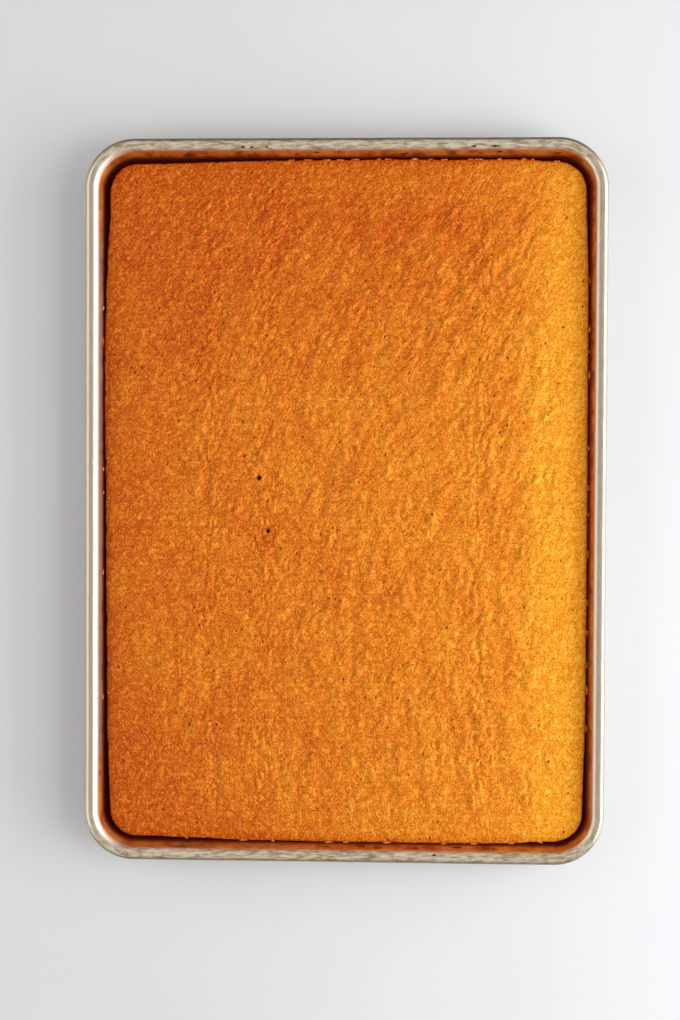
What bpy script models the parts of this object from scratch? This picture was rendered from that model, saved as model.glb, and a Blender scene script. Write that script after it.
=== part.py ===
"""A sheet cake in the shallow aluminium tin that it was baked in, for Blender 4.5.

Metres, +Z up. The origin is on the table, under the middle of the tin. +X runs across
the tin and +Y along it. Every inset is measured inwards from the outermost edge of the
tin's rolled rim.
"""

import math

import bmesh
import bpy
from mathutils import Vector, noise

MM = 0.001

# The tin: a half-sheet pan pressed from one sheet, its edge rolled over a thick wire.
TIN_WIDTH = 327.7 * MM
TIN_LENGTH = 454.7 * MM
TIN_HEIGHT = 26.0 * MM
SHEET_THICKNESS = 1.0 * MM
RIM_CORNER_RADIUS = 31.5 * MM
BEAD_RADIUS = 4.2 * MM
WALL_TAPER = math.radians(17.0)
FLOOR_FILLET = 6.0 * MM

# The cake: a low slab that has shrunk from the wall, more on two sides than on the others.
REST_GAP = 0.3 * MM
CAKE_INSET = 12.0 * MM
CAKE_OFF_CENTRE = (1.0 * MM, -0.5 * MM)
CAKE_EDGE_HEIGHT = 17.0 * MM
CAKE_EDGE_ROUND = 1.8 * MM
CAKE_RISE = 2.6 * MM
SHOULDER_WIDTH = 11.0 * MM

# Unevenness of the baked top, each as a height and the length over which it changes.
SWELL_HEIGHT = 0.45 * MM
SWELL_LENGTH = 95.0 * MM
RIPPLE_HEIGHT = 0.65 * MM
RIPPLE_WIDTH = 16.0 * MM
RIPPLE_LENGTH = 46.0 * MM
RIPPLE_LEAN_BACK = math.radians(56.0)
RIPPLE_LEAN_FRONT = math.radians(94.0)

# The ragged top edge, where crust stuck to the wall and pulled away.
RAGGED_DEPTH = 0.9 * MM
RAGGED_LENGTH = 17.0 * MM

# Steam holes in the crust: place across and along the tin, and radius.
STEAM_HOLES = (
    (-53.7 * MM, 14.7 * MM, 1.5 * MM),
    (-47.9 * MM, -18.7 * MM, 1.1 * MM),
)
STEAM_HOLE_STRETCH = 1.7

# How finely the shapes are divided; the bead's steps are for each quarter turn.
CORNER_STEPS = 10
BEAD_STEPS = 4
FILLET_STEPS = 4
CAKE_CELLS_ACROSS = 52
CAKE_CELLS_ALONG = 72
CAKE_EDGE_STEPS = 2
CAKE_FOOT_STEPS = 2


def clear_scene():
    """Removes whatever the scene holds."""
    for obj in list(bpy.data.objects):
        bpy.data.objects.remove(obj, do_unlink=True)


def new_collection(name):
    """A collection linked to the scene."""
    collection = bpy.data.collections.new(name)
    bpy.context.scene.collection.children.link(collection)
    return collection


def new_material(name, colour, roughness, metallic):
    """A Principled material of one linear colour."""
    material = bpy.data.materials.new(name)
    material.use_nodes = True
    shader = material.node_tree.nodes["Principled BSDF"]
    shader.inputs["Base Color"].default_value = (*colour, 1.0)
    shader.inputs["Roughness"].default_value = roughness
    shader.inputs["Metallic"].default_value = metallic
    return material


def object_from(bm, name, collection, material=None, sharp_angle=math.radians(40.0)):
    """An object whose mesh is the finished bmesh, with its faces pointing outwards."""
    bmesh.ops.recalc_face_normals(bm, faces=bm.faces)
    mesh = bpy.data.meshes.new(name)
    bm.to_mesh(mesh)
    bm.free()
    mesh.shade_smooth()
    mesh.set_sharp_from_angle(angle=sharp_angle)
    if material is not None:
        mesh.materials.append(material)
    obj = bpy.data.objects.new(name, mesh)
    collection.objects.link(obj)
    return obj


def half_sizes(inset):
    """Half the width and half the length of the outline at an inset, and its corner radius."""
    return TIN_WIDTH / 2 - inset, TIN_LENGTH / 2 - inset, RIM_CORNER_RADIUS - inset


def arc(centre, radius, stops, steps):
    """Points (inset, height) along an arc, which has so many steps from stop to stop.

    The stops are angles. Angle 0 points inwards and 90 degrees up.
    """
    turns = [
        start + (end - start) * step / steps
        for start, end in zip(stops, stops[1:])
        for step in range(steps)
    ]
    turns.append(stops[-1])
    return [
        (centre[0] + radius * math.cos(turn), centre[1] + radius * math.sin(turn))
        for turn in turns
    ]


def bead_centre():
    """Centre (inset, height) of the rolled bead, which touches the tin's top and side."""
    return BEAD_RADIUS, TIN_HEIGHT - BEAD_RADIUS


def fillet_centre():
    """Centre (inset, height) of the fillet between floor and wall.

    The wall's inner face is a tangent of the bead, leaning out by the taper, and the
    fillet's centre is one fillet radius away from both that face and the floor.
    """
    bead_inset, bead_height = bead_centre()
    height = SHEET_THICKNESS + FLOOR_FILLET
    reach = BEAD_RADIUS + FLOOR_FILLET + (bead_height - height) * math.sin(WALL_TAPER)
    return bead_inset + reach / math.cos(WALL_TAPER), height


def tin_section():
    """The pressed sheet's closed section, from the floor's top face to its underside.

    It climbs the inner wall, goes over the bead and round under it, and comes back down
    the outer wall one sheet thickness away from the inner one.
    """
    wall_side = math.pi + WALL_TAPER
    down = 1.5 * math.pi
    bead_meets_wall = math.acos(1 - SHEET_THICKNESS / BEAD_RADIUS) - WALL_TAPER
    bead_stops = (WALL_TAPER, math.pi / 2, math.pi, down, 2 * math.pi - bead_meets_wall)
    centre = fillet_centre()
    inside = arc(centre, FLOOR_FILLET, (down, wall_side), FILLET_STEPS)
    bead = arc(bead_centre(), BEAD_RADIUS, bead_stops, BEAD_STEPS)
    outside = arc(centre, FLOOR_FILLET + SHEET_THICKNESS, (wall_side, down), FILLET_STEPS)
    return inside + bead + outside


def outline(inset, height):
    """The rounded rectangle at an inset from the rim, as points at one height."""
    half_x, half_y, radius = half_sizes(inset)
    corners = ((1, 1), (-1, 1), (-1, -1), (1, -1))
    points = []
    for quarter, (side_x, side_y) in enumerate(corners):
        for step in range(CORNER_STEPS + 1):
            turn = (quarter + step / CORNER_STEPS) * math.pi / 2
            x = side_x * (half_x - radius) + radius * math.cos(turn)
            y = side_y * (half_y - radius) + radius * math.sin(turn)
            points.append(Vector((x, y, height)))
    return points


def make_tin(collection):
    """The tin: rounded rectangles lofted through the section, closed by two flat floors."""
    bm = bmesh.new()
    rings = [
        [bm.verts.new(point) for point in outline(inset, height)]
        for inset, height in tin_section()
    ]
    for lower, upper in zip(rings, rings[1:]):
        for i in range(len(lower)):
            bm.faces.new((lower[i - 1], lower[i], upper[i], upper[i - 1]))
    bm.faces.new(rings[0])
    bm.faces.new(rings[-1])
    aluminium = new_material("aluminium", (0.60, 0.56, 0.50), 0.35, 1.0)
    return object_from(bm, "tin", collection, aluminium)


def on_outline(u, v, inset):
    """The point at (u, v) of a square from -1 to 1, once it has the outline's shape.

    Near a corner the square is bent to a quarter disc by its elliptical map, in which
    each side shrinks by the root of one minus half the other's square.
    """
    half_x, half_y, radius = half_sizes(inset)
    straight_x, straight_y = half_x - radius, half_y - radius
    over_x = max(0.0, abs(u) * half_x - straight_x) / radius
    over_y = max(0.0, abs(v) * half_y - straight_y) / radius
    x = min(abs(u) * half_x, straight_x) + radius * over_x * math.sqrt(1 - over_y**2 / 2)
    y = min(abs(v) * half_y, straight_y) + radius * over_y * math.sqrt(1 - over_x**2 / 2)
    return math.copysign(x, u), math.copysign(y, v)


def edge_distance(x, y, inset):
    """How far (x, y) lies inside the outline at an inset."""
    half_x, half_y, radius = half_sizes(inset)
    over_x = abs(x) - (half_x - radius)
    over_y = abs(y) - (half_y - radius)
    past_corner = math.hypot(max(over_x, 0.0), max(over_y, 0.0))
    return max(0.0, radius - past_corner - min(max(over_x, over_y), 0.0))


def top_height(x, y):
    """Height of the baked top: soft shoulders, a broad swell and leaning ripples."""
    inside = edge_distance(x, y, CAKE_INSET + CAKE_EDGE_ROUND)
    risen = 1 - math.exp(-inside / SHOULDER_WIDTH)
    share = 0.5 + y / TIN_LENGTH
    lean = RIPPLE_LEAN_FRONT + share * (RIPPLE_LEAN_BACK - RIPPLE_LEAN_FRONT)
    along = x * math.cos(lean) + y * math.sin(lean)
    across = y * math.cos(lean) - x * math.sin(lean)
    swell = noise.noise(Vector((x, y, 0.0)) / SWELL_LENGTH)
    ripple = noise.noise(Vector((across / RIPPLE_WIDTH, along / RIPPLE_LENGTH, 5.0)))
    uneven = SWELL_HEIGHT * swell + RIPPLE_HEIGHT * ripple
    return CAKE_EDGE_HEIGHT + risen * (CAKE_RISE + uneven)


def ragged(x, y):
    """How far the top edge is torn back at a place on the outline."""
    torn = noise.noise(Vector((x, y, 0.0)) / RAGGED_LENGTH + Vector((0.0, 0.0, 3.0)))
    return RAGGED_DEPTH * max(0.0, torn)


def side_levels():
    """The cake's side below its top surface, as (inset, drop below the top or None, height).

    The first two round the top edge, and the rest follow the tin's fillet at the gap.
    """
    edge_stops = (math.pi / 2, math.pi)
    foot_stops = (math.pi + WALL_TAPER, 1.5 * math.pi)
    edge_centre = (CAKE_INSET + CAKE_EDGE_ROUND, 0.0)
    rounding = arc(edge_centre, CAKE_EDGE_ROUND, edge_stops, CAKE_EDGE_STEPS)
    foot = arc(fillet_centre(), FLOOR_FILLET - REST_GAP, foot_stops, CAKE_FOOT_STEPS)
    edge = [(inset, height - CAKE_EDGE_ROUND, None) for inset, height in rounding[1:]]
    return edge + [(inset, None, height) for inset, height in foot]


def cake_point(u, v, level, levels):
    """The real place of a point of the block: level 0 is the top, and 1, 2, ... the side.

    The top and its edge lie off the tin's middle, and the foot fits the tin.
    """
    shift = Vector((*CAKE_OFF_CENTRE, 0.0))
    if level == 0:
        x, y = on_outline(u, v, CAKE_INSET + CAKE_EDGE_ROUND)
        return Vector((x, y, top_height(x, y))) + shift
    inset, drop, height = levels[level - 1]
    x, y = on_outline(u, v, inset)
    if drop is None:
        return Vector((x, y, height))
    x_torn, y_torn = on_outline(u, v, inset + ragged(x, y))
    return Vector((x_torn, y_torn, top_height(x, y) + drop)) + shift


def make_cake(collection):
    """The cake: a grid for its top, its border extruded down level by level and filled.

    The block is first made as (u, v, -level), and each point is then moved to its place.
    """
    levels = side_levels()
    bm = bmesh.new()
    bmesh.ops.create_grid(
        bm, x_segments=CAKE_CELLS_ACROSS, y_segments=CAKE_CELLS_ALONG, size=1.0
    )
    border = [edge for edge in bm.edges if edge.is_boundary]
    for level in range(1, len(levels) + 1):
        made = bmesh.ops.extrude_edge_only(bm, edges=border)["geom"]
        for vert in (item for item in made if isinstance(item, bmesh.types.BMVert)):
            vert.co.z = -level
        border = [
            item for item in made if isinstance(item, bmesh.types.BMEdge) and item.is_boundary
        ]
    bmesh.ops.edgeloop_fill(bm, edges=border)
    for vert in bm.verts:
        vert.co = cake_point(vert.co.x, vert.co.y, round(-vert.co.z), levels)
    crust = new_material("baked crumb", (0.68, 0.24, 0.03), 0.6, 0.0)
    return object_from(bm, "cake", collection, crust)


def cut_steam_holes(cake, cutters):
    """Cuts each steam hole from the cake with a stretched ball on its surface."""
    shift_x, shift_y = CAKE_OFF_CENTRE
    for number, (x, y, radius) in enumerate(STEAM_HOLES, 1):
        bm = bmesh.new()
        bmesh.ops.create_uvsphere(bm, u_segments=10, v_segments=6, radius=radius)
        bmesh.ops.scale(bm, vec=(1.0, 1.0, STEAM_HOLE_STRETCH), verts=bm.verts)
        ball = object_from(bm, f"steam_hole_cutter_{number}", cutters)
        ball.location = (x, y, top_height(x - shift_x, y - shift_y))
        ball.display_type = "WIRE"
        ball.hide_render = True
        cut = cake.modifiers.new(f"steam hole {number}", "BOOLEAN")
        cut.operation = "DIFFERENCE"
        cut.solver = "EXACT"
        cut.object = ball


def main():
    clear_scene()
    parts = new_collection("sheet_cake")
    cutters = new_collection("cutters")
    make_tin(parts)
    cake = make_cake(parts)
    cut_steam_holes(cake, cutters)


main()
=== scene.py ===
# %% [markdown]
# # A sheet cake in the tin that it was baked in
#
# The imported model, or frame, holds the true sizes of a shallow aluminium tin and of the
# cake in it. This notebook gives each of them a finer surface and a finish. Units are
# metres, +Z is up, +Y runs along the tin, and the origin is on the table under its middle.

import bpy
import numpy as np
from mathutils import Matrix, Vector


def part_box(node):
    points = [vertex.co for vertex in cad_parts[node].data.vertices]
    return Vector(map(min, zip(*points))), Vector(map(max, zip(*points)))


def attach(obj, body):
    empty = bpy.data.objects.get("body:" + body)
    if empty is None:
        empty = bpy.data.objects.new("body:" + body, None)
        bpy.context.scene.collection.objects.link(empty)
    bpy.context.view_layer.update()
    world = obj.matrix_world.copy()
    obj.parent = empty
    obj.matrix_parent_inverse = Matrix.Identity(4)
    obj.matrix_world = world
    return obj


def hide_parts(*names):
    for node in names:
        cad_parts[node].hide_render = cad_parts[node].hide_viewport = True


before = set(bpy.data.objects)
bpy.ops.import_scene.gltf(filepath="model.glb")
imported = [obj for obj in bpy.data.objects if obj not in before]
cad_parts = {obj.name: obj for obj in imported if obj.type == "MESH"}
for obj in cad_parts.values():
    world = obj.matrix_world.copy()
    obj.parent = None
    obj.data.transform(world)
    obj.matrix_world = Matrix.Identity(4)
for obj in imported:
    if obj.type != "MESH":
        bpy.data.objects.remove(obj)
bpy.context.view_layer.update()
MM = 0.001
TIN_SIZE = np.array(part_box("tin")[1]) - np.array(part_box("tin")[0])

# %% [markdown]
# ## Colours and nodes
#
# A colour picked from a picture is an sRGB hex code, but a shader works with linear light,
# so one function converts. Every material below is a small tree of nodes. One function
# adds a node and fills or links its inputs, and short ones name the kinds that come up often.

# %% Helpers for colours and nodes
def linear(hex_code):
    """An sRGB hex colour as linear RGBA: the low end is divided, the rest follows a power."""
    srgb = np.array([int(hex_code[i:i + 2], 16) for i in (1, 3, 5)]) / 255
    rgb = np.where(srgb <= 0.04045, srgb / 12.92, ((srgb + 0.055) / 1.055) ** 2.4)
    return (*rgb.tolist(), 1.0)


def fill(tree, made, inputs):
    """Sets each input of a node to a value, or links it from the socket of another node."""
    for name, value in inputs.items():
        if isinstance(value, bpy.types.NodeSocket):
            tree.links.new(value, made.inputs[name])
        else:
            made.inputs[name].default_value = value


def node(tree, kind, inputs, **settings):
    """Adds a node with its properties and its inputs."""
    made = tree.nodes.new("ShaderNode" + kind)
    for name, value in settings.items():
        setattr(made, name, value)
    fill(tree, made, inputs)
    return made


def attribute(tree, name, output="Fac"):
    """What the mesh's attribute of that name holds, as a number or as a Vector."""
    return node(tree, "Attribute", {}, attribute_name=name).outputs[output]


def texture_noise(tree, place, width, detail, roughness=0.5):
    """Noise in space, whose broadest features are about as wide as width."""
    return node(tree, "TexNoise", {"Vector": place, "Scale": 1 / width, "Detail": detail,
                                   "Roughness": roughness}).outputs["Fac"]


def maths(tree, operation, *values):
    """The result of an operation on one, two or three values."""
    return node(tree, "Math", dict(enumerate(values)), operation=operation).outputs[0]


def mapped(tree, value, start, end, low=0.0, high=1.0):
    """Maps a value evenly: start gives low, end gives high, and past them it stays there."""
    return node(tree, "MapRange", {"Value": value, "From Min": start, "From Max": end,
                                   "To Min": low, "To Max": high}).outputs[0]


def mix(tree, share, first, second):
    """Mixes two colours: only the first at share 0, and only the second at share 1."""
    return node(tree, "Mix", {"Factor": share, "A": first, "B": second},
                data_type="RGBA").outputs["Result"]


def ramp(tree, value, positions, hex_codes):
    """The colour that a value gets on a ramp with a hex colour at each position."""
    made = node(tree, "ValToRGB", {"Fac": value})
    elements = made.color_ramp.elements
    while len(elements) > 1:
        elements.remove(elements[-1])
    elements[0].position, elements[0].color = positions[0], linear(hex_codes[0])
    for position, hex_code in zip(positions[1:], hex_codes[1:]):
        elements.new(position).color = linear(hex_code)
    return made.outputs["Color"]


def bumped(tree, height, depth, strength=1.0):
    """The surface's direction, tilted as if it were raised by the height times the depth."""
    return node(tree, "Bump", {"Height": height, "Strength": strength,
                               "Distance": depth}).outputs["Normal"]


def new_material(name):
    """An empty node material and its tree, shader and coordinates on the object."""
    material = bpy.data.materials.new(name)
    material.use_nodes = True
    tree = material.node_tree
    place = node(tree, "TexCoord", {}).outputs["Object"]
    return material, tree, tree.nodes["Principled BSDF"], place


print("a warm aluminium grey in linear light:", np.round(linear("#CFC8BC"), 3))

# %% [markdown]
# ## Numbers that look natural
#
# Crust, dents and crumbs are uneven, but never jagged at random. Gradient noise gives
# that: each corner of a lattice holds a slope in a chosen direction, and the surface
# blends the four slopes round a point. The directions come from a formula, so that the
# same call gives the same surface on every run.

# %% Gradient noise on whole arrays
HASH_X, HASH_Y, HASH_SEED, HASH_SIZE = 127.1, 311.7, 74.7, 43758.5453


def noise(x, y, seed):
    """Gradient noise, from about -0.7 to 0.7, that changes over one unit of x and y.

    At each of the four lattice corners round (x, y) the slope's direction is a sine hash
    of the corner. The four slopes, each times its offset, blend by 6t^5 - 15t^4 + 10t^3.
    """
    cell_x, cell_y = np.floor(x), np.floor(y)
    part_x, part_y = x - cell_x, y - cell_y
    blend_x, blend_y = (t**3 * (t * (6 * t - 15) + 10) for t in (part_x, part_y))
    corners = []
    for step_x in (0, 1):
        for step_y in (0, 1):
            mixed = np.sin((cell_x + step_x) * HASH_X + (cell_y + step_y) * HASH_Y + seed * HASH_SEED)
            turn = 2 * np.pi * np.modf(np.abs(mixed) * HASH_SIZE)[0]
            corners.append(np.cos(turn) * (part_x - step_x) + np.sin(turn) * (part_y - step_y))
    near = corners[0] + blend_y * (corners[1] - corners[0])
    far = corners[2] + blend_y * (corners[3] - corners[2])
    return near + blend_x * (far - near)


def smooth(value, low, high):
    """Rises from 0 at low to 1 at high, level at both ends."""
    t = np.clip((value - low) / (high - low), 0, 1)
    return t * t * (3 - 2 * t)


trial = noise(*np.meshgrid(np.linspace(0, 40, 400), np.linspace(0, 40, 400)), 1)
print("noise spreads by", trial.std().round(3),
      "between", trial.min().round(2), trial.max().round(2))

# %% [markdown]
# ## From arrays to a mesh
#
# Both big surfaces are rows of points, each row joined to the next. The points are worked
# out as one array, and the faces are arrays of point numbers, so that even a hundred
# thousand points take a moment.

# %% Build meshes from arrays
SHARP_ANGLE = np.radians(50)


def row_faces(numbers):
    """Quads that join each row of point numbers to the next, and its last column to its first."""
    turned = np.roll(numbers, -1, axis=1)
    quads = np.stack([numbers[:-1], numbers[1:], turned[1:], turned[:-1]], axis=-1)
    return quads.reshape(-1, 4)


def volume(points, groups):
    """Volume that the faces enclose, as a sum of tetrahedra: positive if they face outwards."""
    total = 0.0
    for faces in groups:
        first = points[faces[:, 0]]
        for i in range(1, faces.shape[1] - 1):
            total += np.sum(first * np.cross(points[faces[:, i]], points[faces[:, i + 1]])) / 6
    return total


def piece(name, points, groups, material, attributes=None):
    """A smooth object at the origin, from points (n, 3) and groups of equal-sided faces.

    Attributes are numbers or places for each point, which the material reads by name. The
    piece rides on the one body that there is.
    """
    corners = np.concatenate([faces.ravel() for faces in groups])
    sizes = np.concatenate([np.full(len(faces), faces.shape[1]) for faces in groups])
    mesh = bpy.data.meshes.new(name)
    mesh.vertices.add(len(points))
    mesh.vertices.foreach_set("co", points.astype(np.float32).ravel())
    mesh.loops.add(len(corners))
    mesh.loops.foreach_set("vertex_index", corners.astype(np.int32))
    mesh.polygons.add(len(sizes))
    starts = np.concatenate([[0], np.cumsum(sizes)[:-1]])
    mesh.polygons.foreach_set("loop_start", starts.astype(np.int32))
    mesh.update(calc_edges=True)
    mesh.shade_smooth()
    mesh.set_sharp_from_angle(angle=SHARP_ANGLE)
    for key, values in (attributes or {}).items():
        is_number = values.size == len(points)
        kind, field = ("FLOAT", "value") if is_number else ("FLOAT_VECTOR", "vector")
        data = mesh.attributes.new(key, kind, "POINT").data
        data.foreach_set(field, values.astype(np.float32).ravel())
    mesh.materials.append(material)
    made = bpy.data.objects.new(name, mesh)
    bpy.context.scene.collection.objects.link(made)
    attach(made, "root")
    triangles = int((sizes - 2).sum())
    print(f"{name}: {triangles} triangles, {volume(points, groups) * 1e6:.1f} cm3")
    return made


# %% [markdown]
# ## The camera
#
# The photograph looks almost straight down. A 50 mm lens on a 36 mm sensor is assumed, and
# the place and turn are those that put the corners of the tin's rim where the photograph
# has them, to within a pixel.

# %% Camera
CAMERA_PLACE = (0.02879, 0.01177, 0.9109)
CAMERA_TURN = np.radians((-1.0841, 2.0177, 0.257))
LENS, SENSOR = 50, 36

camera = bpy.data.objects.new("camera", bpy.data.cameras.new("camera"))
camera.data.lens = LENS
camera.data.sensor_width = SENSOR
camera.location = CAMERA_PLACE
camera.rotation_euler = CAMERA_TURN
bpy.context.scene.collection.objects.link(camera)
bpy.context.scene.camera = camera
print("camera height above the rim in mm:", round((CAMERA_PLACE[2] - TIN_SIZE[2]) / MM))

# %% [markdown]
# ## The tin's shape
#
# A sheet pan is pressed from one sheet and its edge is rolled outwards over a thick wire.
# So its shape is one profile, carried round a rounded rectangle. Sweeping it suits this
# better than bevelling a box, because wall, floor fillet and bead stay exact arcs.
#
# A rounded rectangle is the rectangle of its corner centres, moved outwards by the corner
# radius. Every inset from the rim only changes that radius, so all rings share one path.

# %% The path round the tin
CORNER_RADIUS = 31.5 * MM


def rounded_path(spacing, corner_steps):
    """The path as two arrays: the rectangle of corner centres, and the outward directions.

    Along a side the first moves while the direction stays. At a corner the first rests
    and the direction turns a quarter. It runs counter-clockwise, seen from above.
    """
    reach = TIN_SIZE[:2] / 2 - CORNER_RADIUS
    centres = np.array([(1, -1), (1, 1), (-1, 1), (-1, -1), (1, -1)]) * reach
    skeleton, turns = [], []
    for side in range(4):
        start, end = centres[side], centres[side + 1]
        steps = round(np.linalg.norm(end - start) / spacing)
        share = np.arange(steps)[:, None] / steps
        skeleton += [start + (end - start) * share, np.tile(end, (corner_steps, 1))]
        turns += [np.full(steps, side), side + np.arange(corner_steps) / corner_steps]
    turn = np.concatenate(turns) * np.pi / 2
    return np.vstack(skeleton), np.column_stack([np.cos(turn), np.sin(turn)])


skeleton, outward = rounded_path(spacing=3.0 * MM, corner_steps=24)
print("points round the tin:", len(skeleton))

# %% [markdown]
# The profile is a chain of arcs in (inset, height). From the floor it climbs the inner
# fillet and the wall, goes over the bead and round under it, tucks in where the rolled
# edge of the sheet ends, and comes back down the wall's outer face. The tuck leaves the
# narrow slit that every rolled rim shows from below.

# %% The tin's profile
SHEET = 1.0 * MM
BEAD_RADIUS = 4.2 * MM
WALL_TAPER = 17.0
FLOOR_FILLET = 6.0 * MM
CURL_END = 318.0
CURL_EDGE_TURN = 8.0
SLIT_DROP = 3.0 * MM
FILLET_STEPS, WALL_STEPS, BEAD_STEPS, OUTER_WALL_STEPS = 8, 8, 36, 6


def towards(angle):
    """The direction (inwards, up) at an angle in degrees: 0 is inwards and 90 is up."""
    return np.stack([np.cos(np.radians(angle)), np.sin(np.radians(angle))], axis=-1)


def arc(centre, radius, start, end, steps):
    """Points (inset, height) on an arc between two angles."""
    return centre + radius * towards(np.linspace(start, end, steps + 1))


def between(start, end, steps):
    """The points that divide a straight line, without its ends."""
    return start + (end - start) * np.arange(1, steps)[:, None] / steps


across_wall = towards(WALL_TAPER)
down_wall = np.array((across_wall[1], -across_wall[0]))
bead_centre = np.array((BEAD_RADIUS, TIN_SIZE[2] - BEAD_RADIUS))
fillet_height = SHEET + FLOOR_FILLET
fillet_reach = BEAD_RADIUS + FLOOR_FILLET + (bead_centre[1] - fillet_height) * across_wall[1]
fillet_centre = np.array((BEAD_RADIUS + fillet_reach / across_wall[0], fillet_height))

inner_fillet = arc(fillet_centre, FLOOR_FILLET, 270, 180 + WALL_TAPER, FILLET_STEPS)
bead = arc(bead_centre, BEAD_RADIUS, WALL_TAPER, CURL_END, BEAD_STEPS)
inner_wall = between(inner_fillet[-1], bead[0], WALL_STEPS)
curl_edge = arc(bead_centre, BEAD_RADIUS - SHEET, CURL_END, CURL_END + CURL_EDGE_TURN, 1)
outer_fillet = arc(fillet_centre, FLOOR_FILLET + SHEET, 180 + WALL_TAPER, 270, FILLET_STEPS)
slit_end = bead[0] - SHEET * across_wall + SLIT_DROP * down_wall
outer_wall = between(slit_end, outer_fillet[0], OUTER_WALL_STEPS)
profile = np.vstack([inner_fillet, inner_wall, bead, curl_edge, slit_end, outer_wall, outer_fillet])
print("points in the profile:", len(profile), "fillet centre in mm:", (fillet_centre / MM).round(2))

# %% [markdown]
# A tin that has been in the oven for years is no longer quite straight, so the bead and
# the upper wall wander in and out by a tenth of a millimetre.
#
# The finish needs a few numbers at each point: how thick the film on the inner wall is, how
# golden the wall is, partly as a painted reflection of the cake, where a near-white painted
# highlight lies, how dark red it is beside the cake with burnt residue and painted shade,
# how worn the rim is and how dark its outer flank is coloured. It also needs a place to read
# streaks from. Streaks run along the rim, so its length is wound once round a large circle,
# where noise meets itself without a seam, and the way across is stretched to make the noise
# long and thin.

# %% Build the tin
RIM_WANDER = 0.16 * MM
WANDER_LENGTH = 55 * MM
WANDER_MEAN, WANDER_VARIES = 0.5, 0.7
WANDER_HEIGHTS = (6 * MM, 22 * MM)
STREAK_STRETCH = 5.0
# Each layer of the finish sets in or ends between two levels, in mm above the table.
FILM_LEVELS, FILM_RAISED_LEFT = (24.6, 22.6), (0.8, 1.8)
# Levels of the dark red beside the cake: partly burnt residue, partly painted shade in the gap.
CHAR_AND_SHADE_LEVELS, CHAR_AND_SHADE_RAISED_RIGHT = (17.5, 15.5), (3.0, 2.5)
# Levels of a painted highlight: a near-white band on the left wall's top widens the glint there.
PAINTED_GLINT_LEVELS = (21.8, 23.0, 25.45, 25.85)
GREY_LEVELS, GREY_SHARE = (17.0, 19.5), 0.9
GREY_ALONG = (200 * MM, 130 * MM)
WORN_LEVELS, WORN_ON_LONG_SIDES = (22.0, 25.0), 0.1
# Levels and shares where the outer flank, under the bead, is coloured darker at the front and back.
DARK_FLANK_LEVELS = (18.0, 21.0, 24.8, 25.9)
DARK_FLANK_BACK, DARK_FLANK_FRONT = 0.95, 0.7


def carried(section, skeleton, outward, wander):
    """Points (rings, path, 3): the centre rectangle plus what is left of the corner radius."""
    reach = CORNER_RADIUS - section[:, :1] - wander
    flat = skeleton + reach[..., None] * outward
    heights = np.broadcast_to(section[:, 1:], reach.shape)
    return np.dstack([flat, heights])


def raised(level, levels, extra, share):
    """Rises from 0 to 1 between two levels, each of them raised by the share of its extra."""
    return smooth(level, levels[0] + extra[0] * share, levels[1] + extra[1] * share)


def band(level, levels):
    """Rises from 0 to 1 between the first two levels, and falls again between the last two."""
    return smooth(level, levels[0], levels[1]) * smooth(level, levels[3], levels[2])


rim_path = skeleton + CORNER_RADIUS * outward
high = smooth(profile[:, 1:], *WANDER_HEIGHTS)
wander = RIM_WANDER * high * (WANDER_MEAN + WANDER_VARIES * noise(*(rim_path / WANDER_LENGTH).T, 11))
tin_points = carried(profile, skeleton, outward, np.maximum(wander, 0))
ring_count, path_count = tin_points.shape[:2]
level = tin_points[..., 2] / MM
crest = len(inner_fillet) + len(inner_wall) + np.argmax(bead[:, 1])
inside = (np.arange(ring_count) < crest)[:, None]
to_right, to_back = np.maximum(outward, 0).T
to_left, to_front = np.maximum(-outward, 0).T
film = inside * raised(level, FILM_LEVELS, FILM_RAISED_LEFT, to_left)
# A painted highlight: near-white along the top of the left inner wall, where the glint is.
painted_glint = inside * to_left * band(level, PAINTED_GLINT_LEVELS)
# The wall's golden share, greyer low on the left. The golden is partly a painted reflection of the
# orange cake.
grey_along = to_left * smooth(np.abs(rim_path[:, 1]), *GREY_ALONG)
golden = 1 - GREY_SHARE * grey_along * smooth(level, *GREY_LEVELS)
# Dark red beside the cake: partly burnt residue, partly painted shade in the gap, higher on the
# right.
char_and_gap_shade = inside * raised(level, CHAR_AND_SHADE_LEVELS, CHAR_AND_SHADE_RAISED_RIGHT, to_right)
on_short_sides = WORN_ON_LONG_SIDES + (1 - WORN_ON_LONG_SIDES) * np.abs(outward[:, 1])
worn = smooth(level, *WORN_LEVELS) * on_short_sides
# The outer flank under the bead is coloured darker, most at the back and less at the front.
dark_outer_flank = ~inside * band(level, DARK_FLANK_LEVELS) * (DARK_FLANK_BACK * to_back + DARK_FLANK_FRONT * to_front)


def running(points):
    """Length run along a chain of points, starting at 0."""
    steps = np.linalg.norm(np.diff(points, axis=0), axis=1)
    return np.concatenate([[0], np.cumsum(steps)])


along_rim = running(np.vstack([rim_path, rim_path[:1]]))
round_once = 2 * np.pi * along_rim[:-1] / along_rim[-1]
circle = along_rim[-1] / (2 * np.pi) * np.column_stack([np.cos(round_once), np.sin(round_once)])
streak_place = np.zeros_like(tin_points)
streak_place[..., :2] = circle
streak_place[..., 2] = STREAK_STRETCH * running(profile)[:, None]

tin_numbers = np.arange(ring_count * path_count).reshape(ring_count, path_count)
tin_groups = [row_faces(tin_numbers), tin_numbers[:1], tin_numbers[-1:, ::-1]]
tin_points = tin_points.reshape(-1, 3)
print("length of the rim in mm:", (along_rim[-1] / MM).round(1))
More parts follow.
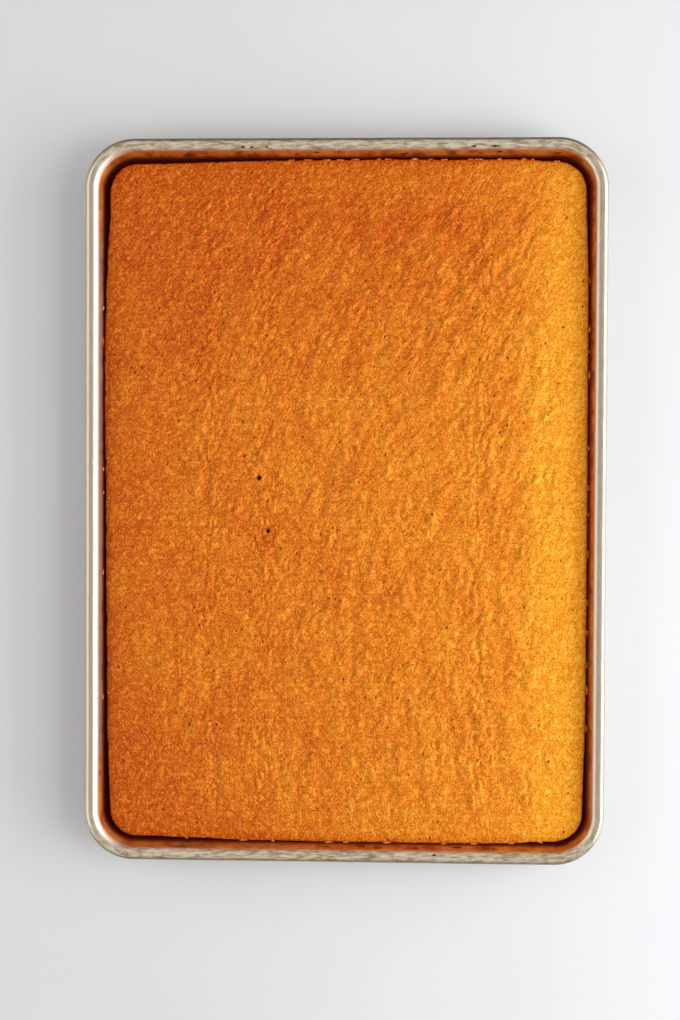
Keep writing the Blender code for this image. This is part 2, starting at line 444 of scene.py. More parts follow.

# %% [markdown]
# ## The tin's finish
#
# Sheet pans are bare rolled aluminium, dulled by washing to a satin. So it is a metal with
# a middling roughness, a slightly warm grey, and very shallow dents that break up the
# reflections. Years of heat leave a thin beige film on the rim, rubbed into streaks. On
# the inner wall fat has baked into a thicker, duller film: greyish on the left and golden
# brown elsewhere, where the golden brown is partly a painted reflection of the orange cake.
# A near-white band along the top of the left wall is a painted highlight, which widens the
# glint there. The dark red beside the cake is partly burnt residue and partly painted shade
# in the gap between cake and wall, and reaches higher on the right. The film is no metal, so
# there the metallic value drops and the wall takes some light as paint does. The outer flank
# of the rim is coloured darker at the front and back.

# %% Rolled aluminium with a baked-on film
PATCH_WIDTH = 12 * MM
STREAK_LENGTH = 7 * MM
DENT_WIDTH = 6 * MM
DENT_DEPTH = 0.05 * MM
TONES = (0.36, 0.50, 0.64)
METALLIC_BARE, METALLIC_FILM = 0.92, 0.50
STREAK_RANGE, STREAK_ROUGHNESS = (0.3, 0.7), (0.30, 0.38)
FILM_ROUGHNESS = 0.16
TIN_ATTRIBUTES = {"film": film, "painted_glint": painted_glint, "golden": golden,
                  "char_and_gap_shade": char_and_gap_shade, "worn": worn, "dark_outer_flank": dark_outer_flank}


def rolled_aluminium():
    """Satin aluminium: metallic, roughness about 0.35, warm grey, beige film, golden wall partly
    painted as the cake's reflection, painted highlight and shade.
    """
    material, tree, shader, place = new_material("rolled_aluminium")
    film, painted_glint, golden, char_and_gap_shade, worn, dark_outer_flank = (attribute(tree, name) for name in TIN_ATTRIBUTES)
    patches = texture_noise(tree, place, PATCH_WIDTH, 4.0, 0.65)
    streaks = texture_noise(tree, attribute(tree, "streak_place", "Vector"), STREAK_LENGTH, 3.0, 0.6)
    rubbed_in = ramp(tree, streaks, TONES, ("#AE9C80", "#E4D5BC", "#F8F0E0"))
    # The wall's golden colour: partly baked-on fat, partly a painted reflection of the orange cake.
    fat_and_painted_reflection = ramp(tree, patches, TONES, ("#D88E3C", "#C87026", "#8C440F"))
    wall = mix(tree, golden, linear("#938A80"), fat_and_painted_reflection)
    colour = mix(tree, patches, linear("#BDB09D"), linear("#D2C8BA"))
    # Layers in order: worn rim, darker outer flank, wall film, a near-white painted highlight, and
    # the dark red of burnt residue and painted shade beside the cake.
    for cover, layer in ((worn, rubbed_in), (dark_outer_flank, linear("#5E4C36")), (film, wall),
                         (painted_glint, linear("#FFFBF2")), (char_and_gap_shade, linear("#7A2206"))):
        colour = mix(tree, cover, colour, layer)
    smudge = mapped(tree, streaks, *STREAK_RANGE, *STREAK_ROUGHNESS)
    dents = texture_noise(tree, place, DENT_WIDTH, 2.0)
    fill(tree, shader, {
        "Base Color": colour,
        "Metallic": mapped(tree, film, 0.0, 1.0, METALLIC_BARE, METALLIC_FILM),
        "Roughness": maths(tree, "MULTIPLY_ADD", film, FILM_ROUGHNESS, smudge),
        "Normal": bumped(tree, dents, DENT_DEPTH),
    })
    return material


sheet_pan = piece("sheet_pan", tin_points, tin_groups, rolled_aluminium(),
                  {**{name: values.ravel() for name, values in TIN_ATTRIBUTES.items()},
                   "streak_place": streak_place})
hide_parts("tin")

# %% [markdown]
# ## The cake's shape
#
# The cake is a slab that fills the tin, so its outline is the tin's, inset by 12 mm. Its
# top is a grid over a square, bent to that outline. Then rings go down its side, and one
# flat face closes it underneath. A grid keeps the crust's relief even, where a subdivided
# cube would crowd points at the corners.
#
# The grid's lines crowd together at the two steam holes and along the sharpest creases,
# which need finer steps than the rest of the crust.

# %% Grid and outline of the cake
CAKE_INSET = 12.0 * MM
EDGE_ROUND = 1.8 * MM
EDGE_HEIGHT = 17.0 * MM
OFF_CENTRE = np.array((1.0, -0.5)) * MM
REST_GAP = 0.3 * MM
CELLS = (244, 340)
STEAM_HOLES = ((-53.7, 14.7, 1.5), (-47.9, -18.7, 1.15))
CREASED_X = (-85.0, 85.0)
CROWD_WIDTH = 5.0 * MM
CROWD_EXTRA = 1.6
DENSITY_POINTS = 4001


def half_sizes(inset):
    """Half the outline's two sides and its corner radius, at an inset from the rim."""
    return TIN_SIZE[0] / 2 - inset, TIN_SIZE[1] / 2 - inset, CORNER_RADIUS - inset


def crowded_lines(count, half, places):
    """Grid lines from -1 to 1, spaced by the running sum of a density with a hump at each place."""
    fine = np.linspace(-1, 1, DENSITY_POINTS)
    density = 1 + sum(CROWD_EXTRA * np.exp(-((fine * half - p) / CROWD_WIDTH) ** 2) for p in places)
    total = np.concatenate([[0], np.cumsum((density[1:] + density[:-1]) / 2)])
    return np.interp(np.linspace(0, total[-1], count + 1), total, fine)


def on_outline(u, v, inset):
    """Bends (u, v) of a square to the outline: past a straight side, a corner's square becomes
    a quarter disc, as each offset shrinks by the root of one minus half the other's square."""
    half_x, half_y, radius = half_sizes(inset)
    over_x = np.maximum(0, np.abs(u) * half_x - half_x + radius) / radius
    over_y = np.maximum(0, np.abs(v) * half_y - half_y + radius) / radius
    straight_x = np.minimum(np.abs(u) * half_x, half_x - radius)
    straight_y = np.minimum(np.abs(v) * half_y, half_y - radius)
    x = straight_x + radius * over_x * np.sqrt(1 - over_y**2 / 2)
    y = straight_y + radius * over_y * np.sqrt(1 - over_x**2 / 2)
    return np.copysign(x, u), np.copysign(y, v)


def edge_distance(x, y, inset):
    """How far (x, y) lies inside the outline at an inset."""
    half_x, half_y, radius = half_sizes(inset)
    over_x, over_y = np.abs(x) - half_x + radius, np.abs(y) - half_y + radius
    past = np.hypot(np.maximum(over_x, 0), np.maximum(over_y, 0))
    return np.maximum(0, radius - past - np.minimum(np.maximum(over_x, over_y), 0))


top_inset = CAKE_INSET + EDGE_ROUND
crowded_x = [h[0] * MM for h in STEAM_HOLES] + [x * MM for x in CREASED_X]
lines_u = crowded_lines(CELLS[0], half_sizes(top_inset)[0], crowded_x)
lines_v = crowded_lines(CELLS[1], half_sizes(top_inset)[1], [h[1] * MM for h in STEAM_HOLES])
grid_u, grid_v = np.meshgrid(lines_u, lines_v, indexing="ij")
steps_u = np.diff(lines_u) * half_sizes(top_inset)[0] / MM
print("grid steps across in mm:", steps_u.min().round(2), steps_u.max().round(2))

# %% [markdown]
# The crust's relief is a sum. A soft dome has shoulders that drop towards the edge. On it
# lie ripples, welts and pimples, which are the same noise at three sizes, each stretched
# along the crust's grain. Welts and pimples take the noise's absolute value. That folds it
# at zero, so they are round on top and meet in sharp valleys, as a wrinkled skin does.
# Some patches of the crust are more wrinkled than others.
#
# The grain leans to the right at the back of the tin and stands upright at the front. So
# noise is read at bent places, where each curved line of the grain has been slid sideways
# until it is straight. A few creases and the steam holes are pressed in last. Their places
# are read from the photograph, and all the heights and depths are estimates.

# %% Relief of the crust
RISE = 2.6 * MM
SHOULDER = 11.0 * MM
SWELL = (0.45 * MM, 95 * MM)
LEAN_BACK = np.radians(56.0)
LEAN_FRONT = np.radians(103.0)
RELIEF = (
    ("ripple", 1.30 * MM, 9.0 * MM, 24.0 * MM),
    ("welt", 1.30 * MM, 5.6 * MM, 8.5 * MM),
    ("pimple", 0.90 * MM, 3.2 * MM, 4.2 * MM),
)
FOLD_SHARE = 0.36
PATCH, PATCH_MEAN, PATCH_VARIES = 20 * MM, 0.85, 0.9
RIPPLED_FROM_EDGE = 34 * MM
RELIEF_LEFT, RELIEF_ADDED_RIGHT = 0.55, 0.45
RELIEF_ACROSS = (-90 * MM, 40 * MM)
RELIEF_AT_EDGE = 4 * MM
WELT_TONE = 0.35
WELL_DEPTH = 3.5 * MM
CREASES = (  # middle in mm, half its length in mm, lean in degrees, depth in mm
    (-85.7, 23.0, 13.0, 93, 0.85), (-83.0, 58.0, 5.0, 90, 0.60), (-12.2, 43.5, 6.0, 90, 0.60),
    (-106.8, -90.0, 11.0, 84, 0.65), (-9.6, -121.0, 8.0, 92, 0.55), (83.3, -176.0, 7.0, 100, 0.60),
    (86.5, -107.0, 17.0, 97, 0.70), (-86.3, -4.0, 14.0, 92, 0.35), (66.0, -150.0, 9.0, 88, 0.50),
)
CREASE_LEFT = 1.8 * MM
CREASE_RIGHT = 0.6 * MM
CREASE_BEND, CREASE_WAVE = 0.8 * MM, 4 * MM


def unbent(x, y):
    """Slides x so that the grain runs straight along y.

    The lean changes evenly with y, so a line of the grain shifts sideways by the integral
    of its cotangent, which is the log of the lean's sine over the lean's rate of change.
    """
    lean = LEAN_FRONT + (0.5 + y / TIN_SIZE[1]) * (LEAN_BACK - LEAN_FRONT)
    rate = (LEAN_BACK - LEAN_FRONT) / TIN_SIZE[1]
    return x - np.log(np.sin(lean)) / rate


def grained(x, y, across, along, seed):
    """Noise stretched along the grain."""
    return noise(unbent(x, y) / across, y / along, seed)


def creases(x, y):
    """Depth of the creases: each is gentle on its left, steep on its right, and fades out."""
    depth = np.zeros_like(x)
    for centre_x, centre_y, half_length, crease_lean, deep in CREASES:
        c, s = np.cos(np.radians(crease_lean)), np.sin(np.radians(crease_lean))
        dx, dy = x - centre_x * MM, y - centre_y * MM
        bend = CREASE_BEND * np.sin(dy / CREASE_WAVE + centre_x)
        leftwards, along = dy * c - dx * s + bend, (dx * c + dy * s) / (half_length * MM)
        across = leftwards / np.where(leftwards > 0, CREASE_LEFT, CREASE_RIGHT)
        depth += deep * MM * np.exp(-across**2 - along**4)
    return depth


def steam_holes(x, y):
    """Mask of the steam holes: 1 inside a steep-sided well, and 0 away from it."""
    well = np.zeros_like(x)
    for centre_x, centre_y, radius in STEAM_HOLES:
        away = np.hypot(x - centre_x * MM, y - centre_y * MM) / (radius * MM)
        well = np.maximum(well, np.exp(-away**4))
    return well


def crust(x, y):
    """Height of the crust at (x, y), its fine relief alone, and the steam holes' mask."""
    inside = edge_distance(x - OFF_CENTRE[0], y - OFF_CENTRE[1], top_inset)
    dome = RISE * (1 - np.exp(-inside / SHOULDER)) + SWELL[0] * noise(x / SWELL[1], y / SWELL[1], 3)
    strength = smooth(inside, 0, RIPPLED_FROM_EDGE) * (
        RELIEF_LEFT + RELIEF_ADDED_RIGHT * smooth(x, *RELIEF_ACROSS))
    ripple, welt, pimple = (
        height * grained(x, y, across, along, 20 + 5 * number)
        for number, (_, height, across, along) in enumerate(RELIEF)
    )
    welt, pimple = (2 * np.abs(part) - FOLD_SHARE * height
                    for part, (_, height, _, _) in zip((welt, pimple), RELIEF[1:]))
    patchy = PATCH_MEAN + PATCH_VARIES * noise(x / PATCH, y / PATCH, 43)
    fine = ripple * strength + (welt + pimple) * (0.5 + 0.5 * strength) * patchy
    at_edge = smooth(inside, -RELIEF_AT_EDGE, RELIEF_AT_EDGE)
    well = steam_holes(x, y)
    height = EDGE_HEIGHT + dome + fine * at_edge - creases(x, y)
    return height - WELL_DEPTH * well, pimple + WELT_TONE * welt, well


# %% [markdown]
# The side is rings. Five follow the rounded top edge, where the crust stuck to the wall and
# tore away in small scallops, least on the right, where it nearly touches the wall. The
# rest run down to the tin's floor fillet, 0.3 mm from it, so that cake and tin never cut
# into each other. Higher up the gap is narrowest on the right, at 0.17 mm.
#
# The cake drew back from the corners as it cooled, and still fills the middle of each
# side. So the outline swells at a few places, and only on sides that have room for it.

# %% Build the cake
TORN = ((0.7 * MM, 17 * MM, 31), (0.8 * MM, 5 * MM, 37))
TORN_ON_RIGHT = 0.3
RIGHT_REACH = (130 * MM, 150 * MM)
CORNER_SHRINK = 1.9 * MM
CORNER_ACROSS, CORNER_ALONG = (40 * MM, 140 * MM), (130 * MM, 205 * MM)
EDGE_STEPS, FOOT_STEPS = 5, 4
SIDE_SHARES = (0.33, 0.67)
SWOLLEN = (  # place, width and how far the outline comes out, in mm
    (-151, 75, 70, 1.9), (-151, -45, 50, 0.7), (153, -15, 80, 0.2), (50, 214, 60, 0.5),
    (108, 214, 25, 1.6), (30, -215, 70, 0.4), (100, -215, 30, 1.1),
)


def torn(x, y):
    """How far the top edge is torn back: the positive parts of a broad and a fine noise."""
    share = 1 - (1 - TORN_ON_RIGHT) * smooth(x, *RIGHT_REACH)
    return share * sum(depth * np.maximum(0, noise(x / length, y / length, seed))
                       for depth, length, seed in TORN)


def drawn_in(x, y):
    """How far the outline is drawn in: more near the corners, less at each swollen place."""
    corner = smooth(np.abs(x), *CORNER_ACROSS) * smooth(np.abs(y), *CORNER_ALONG)
    swell = sum(out * MM * np.exp(-((x - cx * MM) ** 2 + (y - cy * MM) ** 2) / (width * MM) ** 2)
                for cx, cy, width, out in SWOLLEN)
    return CORNER_SHRINK * corner - swell


def ring_of(grid):
    """The border of a grid of values, counter-clockwise."""
    return np.concatenate([grid[:-1, 0], grid[-1, :-1], grid[:0:-1, -1], grid[0, :0:-1]])


def cake_points(u, v, inset, drop):
    """Points of the top or of its rounded edge, moved off the tin's middle."""
    x, y = on_outline(u, v, inset)
    height, fine, well = crust(x + OFF_CENTRE[0], y + OFF_CENTRE[1])
    x, y = on_outline(u, v, inset + drawn_in(x, y) + (torn(x, y) if drop else 0))
    return np.stack([x + OFF_CENTRE[0], y + OFF_CENTRE[1], height + drop], axis=-1), fine, well


top, top_fine, top_well = cake_points(grid_u, grid_v, top_inset, 0)
ring_u, ring_v = ring_of(grid_u), ring_of(grid_v)
rings, ring_fine = [], []
for inset, drop in arc((top_inset, 0), EDGE_ROUND, 90, 180, EDGE_STEPS)[1:]:
    points, fine, _ = cake_points(ring_u, ring_v, inset, drop - EDGE_ROUND)
    rings.append(points)
    ring_fine.append(fine)
foot = arc(fillet_centre, FLOOR_FILLET - REST_GAP, 180 + WALL_TAPER, 270, FOOT_STEPS)
foot_rings = [np.column_stack([*on_outline(ring_u, ring_v, inset), np.full(len(ring_u), height)])
              for inset, height in foot]
side = [rings[-1] + (foot_rings[0] - rings[-1]) * share for share in SIDE_SHARES]
rings += side + foot_rings

top_numbers = np.arange(grid_u.size).reshape(grid_u.shape)
first = ring_of(top_numbers)
ring_numbers = grid_u.size + np.arange(len(rings) * len(first)).reshape(len(rings), -1)
top_quads = np.stack([top_numbers[:-1, :-1], top_numbers[1:, :-1],
                      top_numbers[1:, 1:], top_numbers[:-1, 1:]], axis=-1).reshape(-1, 4)
slab_points = np.vstack([top.reshape(-1, 3)] + rings)
side_quads = row_faces(np.vstack([first[None], ring_numbers]))
slab_groups = [top_quads, side_quads, ring_numbers[-1:, ::-1]]
lower = np.zeros(len(first) * (len(rings) - len(ring_fine)))
slab_fine = np.concatenate([top_fine.ravel(), *ring_fine, lower])
slab_well = np.concatenate([top_well.ravel(), np.zeros(len(slab_points) - top_well.size)])
print("crust heights in mm:", (top[..., 2].min() / MM).round(2), (top[..., 2].max() / MM).round(2),
      "fine relief spreads by", (top_fine.std() / MM).round(3))

# %% [markdown]
# ## Browning and painted light
#
# An oven browns a cake unevenly. This one is redder towards the back and the left and at
# the very edge, and golden on its right shoulder. The slope towards the back and the left
# and the golden right shoulder are partly browning and partly painted light, which falls
# from the right. That slow change is one number for each point. The shader adds what is
# finer than the mesh, and reads it at the unbent places, so that the finest grain follows
# the crust's too.

# %% How brown each point is
MIDDLE_BROWN = 0.62
# The slope across and the golden right shoulder are partly painted light from the right.
BROWN_AND_SHADE_ACROSS = 0.53
BROWN_BACK = 0.29
BROWN_FRONT_LEFT = 0.20
PAINTED_LIGHT_SHOULDER = 0.50
BACK_REACH, SHOULDER_REACH = (40 * MM, 190 * MM), (100 * MM, 135 * MM)
FRONT_REACH, LEFT_REACH = (-110 * MM, -190 * MM), (-20 * MM, -110 * MM)
EDGE_BROWN, EDGE_WIDTH = 0.5, 2.0 * MM
CLOUD_BROWN, CLOUD = 0.18, 38 * MM
STREAK_BROWN, STREAK_ACROSS, STREAK_ALONG = 0.16, 12 * MM, 34 * MM
SPOT_BROWN = 0.22
RED_SPOTS = (  # place and radius in mm
    (-51.0, 146.7, 6.0), (-49.2, -25.1, 7.0), (-98.0, -30.4, 5.0), (-8.7, -43.1, 5.0),
    (42.1, 109.7, 2.0), (-60.0, 152.0, 5.0), (32.0, 165.0, 16.0), (70.0, 170.0, 14.0),
)


def browning_and_painted_light(x, y):
    """From 0, golden, to 1, deeply browned: a slope to the back left and a golden right shoulder,
    both partly painted light, then edges, spots and noise.
    """
    # The slope and the golden right shoulder are partly browning and partly painted light.
    slope = MIDDLE_BROWN - BROWN_AND_SHADE_ACROSS * x / TIN_SIZE[0] + BROWN_BACK * smooth(y, *BACK_REACH)
    slope = slope + BROWN_FRONT_LEFT * smooth(y, *FRONT_REACH) * smooth(x, *LEFT_REACH)
    golden = PAINTED_LIGHT_SHOULDER * smooth(x, *SHOULDER_REACH)
    plain_x, plain_y = x - OFF_CENTRE[0], y - OFF_CENTRE[1]
    from_edge = edge_distance(plain_x, plain_y, CAKE_INSET) - drawn_in(plain_x, plain_y)
    edge = EDGE_BROWN * np.exp(-np.maximum(from_edge, 0) / EDGE_WIDTH)
    spots = sum(SPOT_BROWN * np.exp(-((x - cx * MM) ** 2 + (y - cy * MM) ** 2) / (r * MM) ** 2)
                for cx, cy, r in RED_SPOTS)
    cloud = (CLOUD_BROWN * noise(x / CLOUD, y / CLOUD, 51)
             + STREAK_BROWN * grained(x, y, STREAK_ACROSS, STREAK_ALONG, 61))
    return np.clip(slope - golden + edge + spots + cloud, 0, 1)


GRAIN_SQUASH = 0.6
slab_brown_and_light = browning_and_painted_light(slab_points[:, 0], slab_points[:, 1])
slab_grain = np.column_stack([unbent(slab_points[:, 0], slab_points[:, 1]),
                              GRAIN_SQUASH * slab_points[:, 1], slab_points[:, 2]])
print("mean browning:", slab_brown_and_light.mean().round(2))

# %% [markdown]
# ## Baked crumb
#
# The crust is that of a moist cake: fine orange crumb full of tiny pores, with a soft sheen
# from its fat. Its colour runs from red-brown in the hollows to golden on the bumps, which
# is painted shade in the hollows. So two colour ramps, one browned and one golden, are read
# by the relief and the grain, and mixed by the browning, which is partly painted light. The
# grain is folded at its middle value like the wrinkles, which leaves fine dark lines of
# painted shade along its valleys. Pores are the places near the centres of scattered cells,
# painted dark as shade, and the steam holes are painted near-black. The cells fill space
# and the crust only cuts through them, so some pores are wide and most are narrow, as in a
# real crumb.
#
# Light also wanders about inside moist crumb, red light furthest. So shadows in the
# hollows fill with red, while the lit sides stay yellow. A share of subsurface scattering
# gives that. A whole share would blur the grain, which is as fine as the scattering.

# %% Baked crumb
GRAIN = 1.9 * MM
SPECK = 1.05 * MM
PORE_CELL = 3.4 * MM
PORE_RADIUS = 0.72 * MM
# The relief and the folded grain darken the hollows and fine valleys in colour: painted shade.
RELIEF_TONE = 2.8 * MM
GRAIN_TONE, SPECK_TONE, TONE_SHIFT = 2.2, 1.15, 0.245
CRUMB_TONES = (0.15, 0.5, 0.85)
GRAIN_DEPTH = 0.47 * MM
GRAIN_HEIGHT, PORE_HEIGHT = 2.0, -0.5
PORES_OPEN_FROM = 0.45
PORE_BORDER = (-0.03, 0.10)
GRAIN_RANGE, CRUMB_ROUGHNESS = (0.3, 0.7), (0.62, 0.44)
CRUMB_IOR = 1.25
SCATTER_SHARE = 0.3
SCATTER_COLOURS = (1.0, 0.25, 0.08)
SCATTER_SCALE = 0.35 * MM


def baked_crumb():
    """Moist crumb: rough, with a low IOR, as a pored surface shines less than a smooth one."""
    material, tree, shader, place = new_material("baked_crumb")
    relief, brown_and_light, well = (attribute(tree, name) for name in ("relief", "browning_and_painted_light", "well"))
    unbent_place = attribute(tree, "grain", "Vector")
    grain = texture_noise(tree, unbent_place, GRAIN, 3.0, 0.65)
    speck = texture_noise(tree, place, SPECK, 1.0)
    folded = maths(tree, "ABSOLUTE", maths(tree, "SUBTRACT", grain, 0.5))
    coarse = maths(tree, "MULTIPLY_ADD", folded, GRAIN_TONE, relief)
    both = maths(tree, "MULTIPLY_ADD", speck, SPECK_TONE, coarse)
    shade = maths(tree, "SUBTRACT", both, TONE_SHIFT)
    # Both ramps darken with the relief's hollows and the folded grain's valleys, as painted shade.
    # The speck adds random tone.
    browned = ramp(tree, shade, CRUMB_TONES, ("#B43C02", "#D8680E", "#F2922A"))
    golden = ramp(tree, shade, CRUMB_TONES, ("#E27C0A", "#FFAB29", "#FFCA46"))
    cells = node(tree, "TexVoronoi", {"Vector": unbent_place, "Scale": 1 / PORE_CELL,
                                      "Randomness": 1.0})
    chance = node(tree, "SeparateColor", {"Color": cells.outputs["Color"]}).outputs["Red"]
    pore_radius = mapped(tree, chance, PORES_OPEN_FROM, 1.0, 0.0, PORE_RADIUS / PORE_CELL)
    open_here = maths(tree, "SUBTRACT", pore_radius, cells.outputs["Distance"])
    pore = mapped(tree, open_here, *PORE_BORDER)
    # The browned and golden ramps mix by the browning, which is partly painted light.
    colour = mix(tree, brown_and_light, golden, browned)
    # Pores are painted dark and the steam holes near-black: painted shade in the holes.
    for cover, layer in ((pore, linear("#541600")), (well, linear("#1A0600"))):
        colour = mix(tree, cover, colour, layer)
    wrinkled = maths(tree, "MULTIPLY_ADD", folded, GRAIN_HEIGHT, speck)
    pitted = maths(tree, "MULTIPLY_ADD", pore, PORE_HEIGHT, wrinkled)
    fill(tree, shader, {
        "Base Color": colour,
        "Roughness": mapped(tree, grain, *GRAIN_RANGE, *CRUMB_ROUGHNESS),
        "Normal": bumped(tree, pitted, GRAIN_DEPTH),
        "IOR": CRUMB_IOR,
        "Subsurface Weight": SCATTER_SHARE,
        "Subsurface Radius": SCATTER_COLOURS,
        "Subsurface Scale": SCATTER_SCALE,
    })
    return material


baked_slab = piece("baked_slab", slab_points, slab_groups, baked_crumb(),
                   {"relief": slab_fine / RELIEF_TONE, "browning_and_painted_light": slab_brown_and_light, "well": slab_well,
                    "grain": slab_grain})
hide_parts("cake")

# %% [markdown]
# ## Crumbs, drips and scorch marks
#
# Where batter climbed the wall it set as glassy beads, and the crust tore free between
# them. Spilt drops on the wall and the rim burnt nearly black. All of these are
# small lumps, so one function makes them: a closed ball of a few dozen faces is dented by
# noise, stretched, turned and placed, for all lumps at once.

# %% A function for many small lumps
BALL_ROWS = 5
BALL_SIDES = 8
DENT_SHARE = 0.9
APART_X, APART_Y = 3.7, 1.9


def lumps(places, sizes, turns, seed):
    """Points and face groups of many small lumps.

    A ball's rows follow the sine and cosine of the polar angle, and a pole closes each
    end. Each point's distance from the middle is 1 plus noise, times half the lump's size.
    Each lump reads the noise at a place of its own, so no two are alike.
    """
    polar = np.pi * np.arange(1, BALL_ROWS + 1)[:, None] / (BALL_ROWS + 1)
    around = 2 * np.pi * np.arange(BALL_SIDES)[None] / BALL_SIDES
    rows = np.stack([np.sin(polar) * np.cos(around), np.sin(polar) * np.sin(around),
                     np.cos(polar) + 0 * around], axis=-1).reshape(-1, 3)
    ball = np.vstack([rows, (0, 0, 1), (0, 0, -1)])
    number = np.arange(len(places))[:, None]
    dent = 1 + DENT_SHARE * noise(ball[:, 0] + APART_X * number,
                                  ball[:, 1] + ball[:, 2] + APART_Y * number, seed)
    shape = ball * dent[..., None] * sizes[:, None] / 2
    c, s = np.cos(turns)[:, None], np.sin(turns)[:, None]
    turned = np.stack([c * shape[..., 0] - s * shape[..., 1], s * shape[..., 0] + c * shape[..., 1],
                       shape[..., 2]], axis=-1)
    numbers = np.arange(len(rows)).reshape(BALL_ROWS, BALL_SIDES)
    following = np.roll(numbers, -1, axis=1)
    top, bottom = np.full(BALL_SIDES, len(rows)), np.full(BALL_SIDES, len(rows) + 1)
    caps = np.vstack([np.column_stack([top, numbers[0], following[0]]),
                      np.column_stack([bottom, following[-1], numbers[-1]])])
    shift = (np.arange(len(places)) * len(ball))[:, None, None]
    groups = [(faces[None] + shift).reshape(-1, faces.shape[1])
              for faces in (row_faces(numbers), caps)]
    return (places[:, None] + turned).reshape(-1, 3), groups


def wall_inset(height):
    """Inset of the inner wall at a height: the bead's last point, then out along the taper."""
    return bead[0, 0] + (bead[0, 1] - height) * np.tan(np.radians(WALL_TAPER))


print("wall inset in mm at the cake's edge:", (wall_inset(EDGE_HEIGHT) / MM).round(2))

# %% [markdown]
# Set batter is moist and sugary, so it is much glossier than the crust, and it runs from
# red-brown to pale orange. Scorched drops are brown to almost black and a little glossy.

# %% Materials of set batter and scorched drops
LUMP_GRAIN = 1.6 * MM
LUMP_RANGE = (0.35, 0.65)
LUMP_DENTS, LUMP_DENTS_STRENGTH = 0.1 * MM, 0.6
SUGAR_IOR = 1.45


def sugary(name, low, high, roughness):
    """A glossy dielectric between two colours, which patches of noise mix."""
    material, tree, shader, place = new_material(name)
    patches = texture_noise(tree, place, LUMP_GRAIN, 2.0)
    fill(tree, shader, {
        "Base Color": mix(tree, mapped(tree, patches, *LUMP_RANGE), linear(low), linear(high)),
        "Roughness": roughness,
        "Normal": bumped(tree, patches, LUMP_DENTS, LUMP_DENTS_STRENGTH),
        "IOR": SUGAR_IOR,
    })
    return material


# %% [markdown]
# The beads lie on the stretches of each side where the photograph has light marks, but they
# are fewer than the marks, which include faint ones. On a stretch they are drawn at random
# about an even spacing. A bead's place is the nearest point of the cake's rounded edge, moved
# towards the wall. At the front and back it rests on the cake, and at the left and right it
# sticks to the wall.

# %% Beads of set batter along the cake's edge
BEADED_SIDES = (  # direction it faces, first and last place along it in mm, beads, on the wall
    ((1, 0), -150, 140, 13, True), ((-1, 0), -114, 144, 6, True),
    ((0, -1), -92, 132, 10, False), ((0, 1), -36, 130, 16, False),
)
BEAD_LENGTHS = (2.0, 6.0)
BEAD_GIRTH = 1.1 * MM
BEAD_SINK = 0.2 * MM


def scattered(first, last, count):
    """Places in metres about an even spacing, each moved at random by up to half of it."""
    spacing = (last - first) / count
    return (np.linspace(first, last, count) + draw.uniform(-0.5, 0.5, count) * spacing) * MM


draw = np.random.default_rng(5)
halfway_down = rings[2]
bead_places, bead_sizes, bead_turns = [], [], []
for facing, first, last, count, on_wall in BEADED_SIDES:
    facing = np.array(facing)
    for along in scattered(first, last, count):
        aim = facing * TIN_SIZE[:2] / 2 + np.abs(facing[::-1]) * along
        place = halfway_down[np.argmin(np.hypot(*(halfway_down[:, :2] - aim).T))].copy()
        room = facing @ (aim - place[:2]) - wall_inset(place[2])
        place[:2] += facing * (room - BEAD_SINK if on_wall else BEAD_GIRTH / 2 - BEAD_SINK)
        bead_places.append(place)
        bead_sizes.append((draw.uniform(*BEAD_LENGTHS) * MM, BEAD_GIRTH, BEAD_GIRTH))
        bead_turns.append(np.pi / 2 * abs(facing[0]))
points, groups = lumps(np.array(bead_places), np.array(bead_sizes), np.array(bead_turns), 71)
piece("set_batter", points, groups, sugary("set_batter", "#C04A18", "#F09858", 0.22))

# %% [markdown]
# Scorched drops lie on the wall at the front and back, scattered in the same way. Those
# on the rim are so few and so plain to see that each is listed. They stay off the
# rim's crest, which keeps them below the tin's highest point.

# %% Scorched drops on the wall and on the rim
DRIPPED_SIDES = ((1, -102, 135, 9), (-1, -38, 102, 7))
DROP_LENGTHS = (2.5, 6.0)
DROP_LEVELS = (17.8, 21.3)
RIM_DROPS = ((1, -64, 3), (1, -58.5, 3), (1, -49, 1.5), (1, 80, 4), (1, 93, 5.5), (-1, 58, 3))
RIM_DROP_WIDTH = 1.6 * MM
DROP_THICKNESS = 0.5 * MM
DROP_HEIGHTS = (1.2, 3.5)
DROP_TURN = 0.3
OFF_CREST = 1.9 * MM
rim_inset = BEAD_RADIUS + OFF_CREST
rim_level = bead_centre[1] + np.sqrt(BEAD_RADIUS**2 - OFF_CREST**2)

drop_places, drop_sizes = [], []
for side_y, first, last, count in DRIPPED_SIDES:
    for along in scattered(first, last, count):
        level = draw.uniform(*DROP_LEVELS) * MM
        drop_places.append((along, side_y * (TIN_SIZE[1] / 2 - wall_inset(level)), level))
        drop_sizes.append((draw.uniform(*DROP_LENGTHS) * MM, DROP_THICKNESS,
                           draw.uniform(*DROP_HEIGHTS) * MM))
for side_y, along, length in RIM_DROPS:
    drop_places.append((along * MM, side_y * (TIN_SIZE[1] / 2 - rim_inset), rim_level))
    drop_sizes.append((length * MM, RIM_DROP_WIDTH, DROP_THICKNESS))
drop_turns = draw.uniform(-DROP_TURN, DROP_TURN, len(drop_places))
points, groups = lumps(np.array(drop_places), np.array(drop_sizes), drop_turns, 73)
burnt = sugary("scorched_sugar", "#2A0F05", "#6E330F", 0.38)
piece("scorched_drops", points, groups, burnt)

# %% [markdown]
# ## Floor and light
#
# The studio is plain: a pale matt floor, four soft lights and a dim room. The bands of
# light in the rim say where these stand, because the bead is a small round mirror. A bright
# low window is on the right and a tall white card on the left. A wide ceiling is only seen
# in reflections, where it fills the top of the bead. A light high on the right is hidden
# from reflections, as it would show in the rim: it only lights the crust and the floor.

# %% Floor
FLOOR_HALF = 3.0
MOTTLE_WIDTH = 1 / 6
FLOOR_ROUGHNESS = 0.6


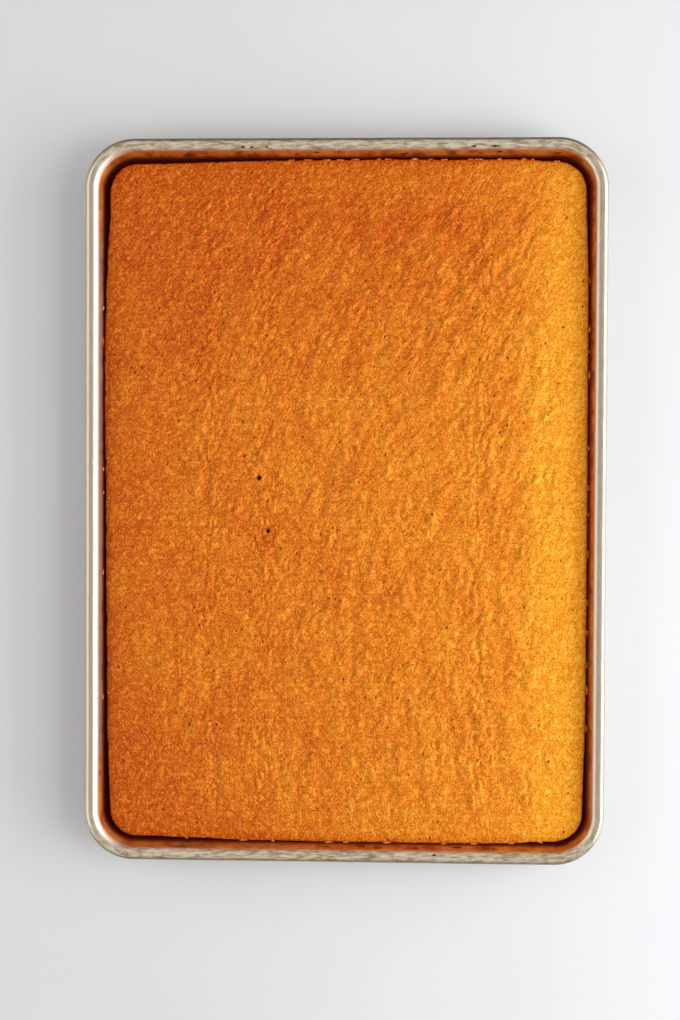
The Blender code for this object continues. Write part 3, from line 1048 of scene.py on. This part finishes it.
def pale_floor():
    """A matt pale surface with a barely visible mottle."""
    material, tree, shader, place = new_material("pale_floor")
    mottle = texture_noise(tree, place, MOTTLE_WIDTH, 3.0)
    fill(tree, shader, {"Base Color": mix(tree, mottle, linear("#E2E5EA"), linear("#E9ECEF")),
                        "Roughness": FLOOR_ROUGHNESS})
    return material


floor_mesh = bpy.data.meshes.new("floor")
corners = [(-FLOOR_HALF, -FLOOR_HALF, 0), (FLOOR_HALF, -FLOOR_HALF, 0),
           (FLOOR_HALF, FLOOR_HALF, 0), (-FLOOR_HALF, FLOOR_HALF, 0)]
floor_mesh.from_pydata(corners, [], [(0, 1, 2, 3)])
floor_mesh.materials.append(pale_floor())
floor = bpy.data.objects.new("floor", floor_mesh)
bpy.context.scene.collection.objects.link(floor)

# %% Lights
def soft_light(name, place, target, size, brightness, colour):
    """A rectangular area light of size (wide, high) that faces its target.

    Its brightness is that of its surface, so its watts are that times its area and pi.
    """
    data = bpy.data.lights.new(name, "AREA")
    data.shape = "RECTANGLE"
    data.size, data.size_y = size
    data.energy = brightness * np.pi * size[0] * size[1]
    data.color = linear(colour)[:3]
    light = bpy.data.objects.new(name, data)
    light.location = place
    facing = light.location.copy()
    facing.xyz = [t - p for t, p in zip(target, place)]
    light.rotation_euler = facing.to_track_quat("-Z", "Y").to_euler()
    bpy.context.scene.collection.objects.link(light)
    return light


soft_light("window", (1.50, -0.15, 0.45), (0, -0.15, 0.45), (2.4, 0.8), 4.4, "#FFFFFF")
soft_light("card", (-1.20, 0.0, 0.75), (0, 0.0, 0.75), (2.0, 1.1), 1.1, "#FFFFFF")
ceiling = soft_light("ceiling", (0.0, 0.0, 1.90), (0, 0, 0), (7.0, 7.0), 0.18, "#FFF4EA")
ceiling.visible_diffuse = False
key = soft_light("high_right", (0.80, -0.12, 0.70), (0, 0, 0), (0.75, 0.75), 3.5, "#FCFCFF")
key.visible_glossy = False

ROOM_LIGHT = 0.42
world = bpy.data.worlds.new("room")
world.use_nodes = True
fill(world.node_tree, world.node_tree.nodes["Background"],
     {"Color": linear("#FFF8F0"), "Strength": ROOM_LIGHT})
bpy.context.scene.world = world
bpy.context.scene.view_settings.view_transform = "Standard"
